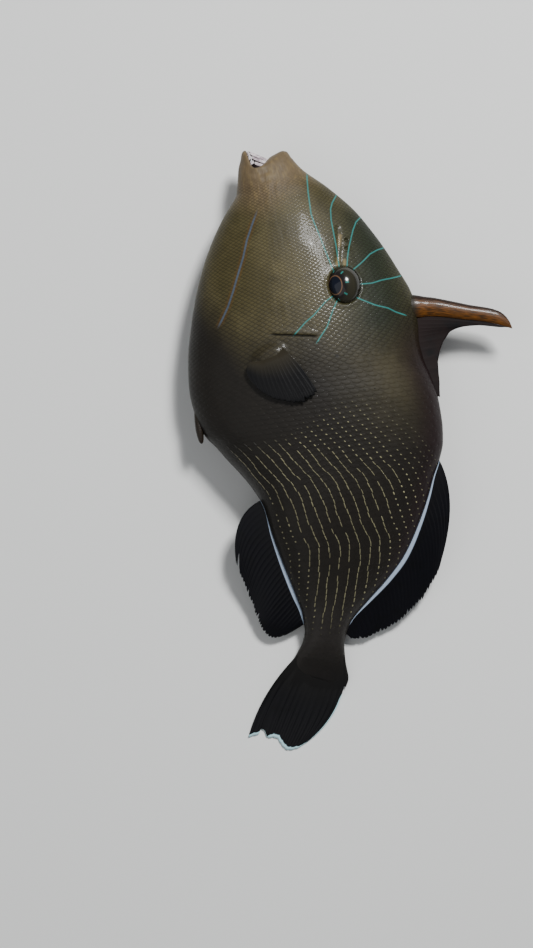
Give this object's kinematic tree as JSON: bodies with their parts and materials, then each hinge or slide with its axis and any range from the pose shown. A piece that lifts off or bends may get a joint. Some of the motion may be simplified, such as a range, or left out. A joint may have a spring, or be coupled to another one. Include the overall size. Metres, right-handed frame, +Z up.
{
  "type": "black triggerfish",
  "caption": "Still life-size model of a deep-bodied black triggerfish lying on its flank, dorsal spine raised, with ray fins, teeth and drooping tail.",
  "frame": {"origin": "middle of the bounding box, on the table the fish lies on", "axes": "+Y towards the snout, +X towards the back and the raised spine, +Z up, out of the left flank"},
  "size_m": [0.1116, 0.2054, 0.034],
  "materials": {
    "skin": "wet scaled hide, satin to glossy",
    "fin": "wet fin membrane over bony rays",
    "spine": "rough amber-brown bone",
    "eye": "clear wet gloss",
    "tooth": "polished enamel"
  },
  "bodies": {
    "root": {"head": "skin", "trunk": "skin", "tail_stalk": "skin", "eye_left": "eye", "eye_right": "eye", "upper_teeth": "tooth", "lower_teeth": "tooth", "dorsal_spine": "spine", "dorsal_spine_membrane": "fin", "soft_dorsal_fin": "fin", "anal_fin": "fin", "caudal_fin": "fin", "pectoral_fin_left": "fin", "pectoral_fin_right": "fin", "pelvic_spine": "skin"}
  },
  "joints": []
}
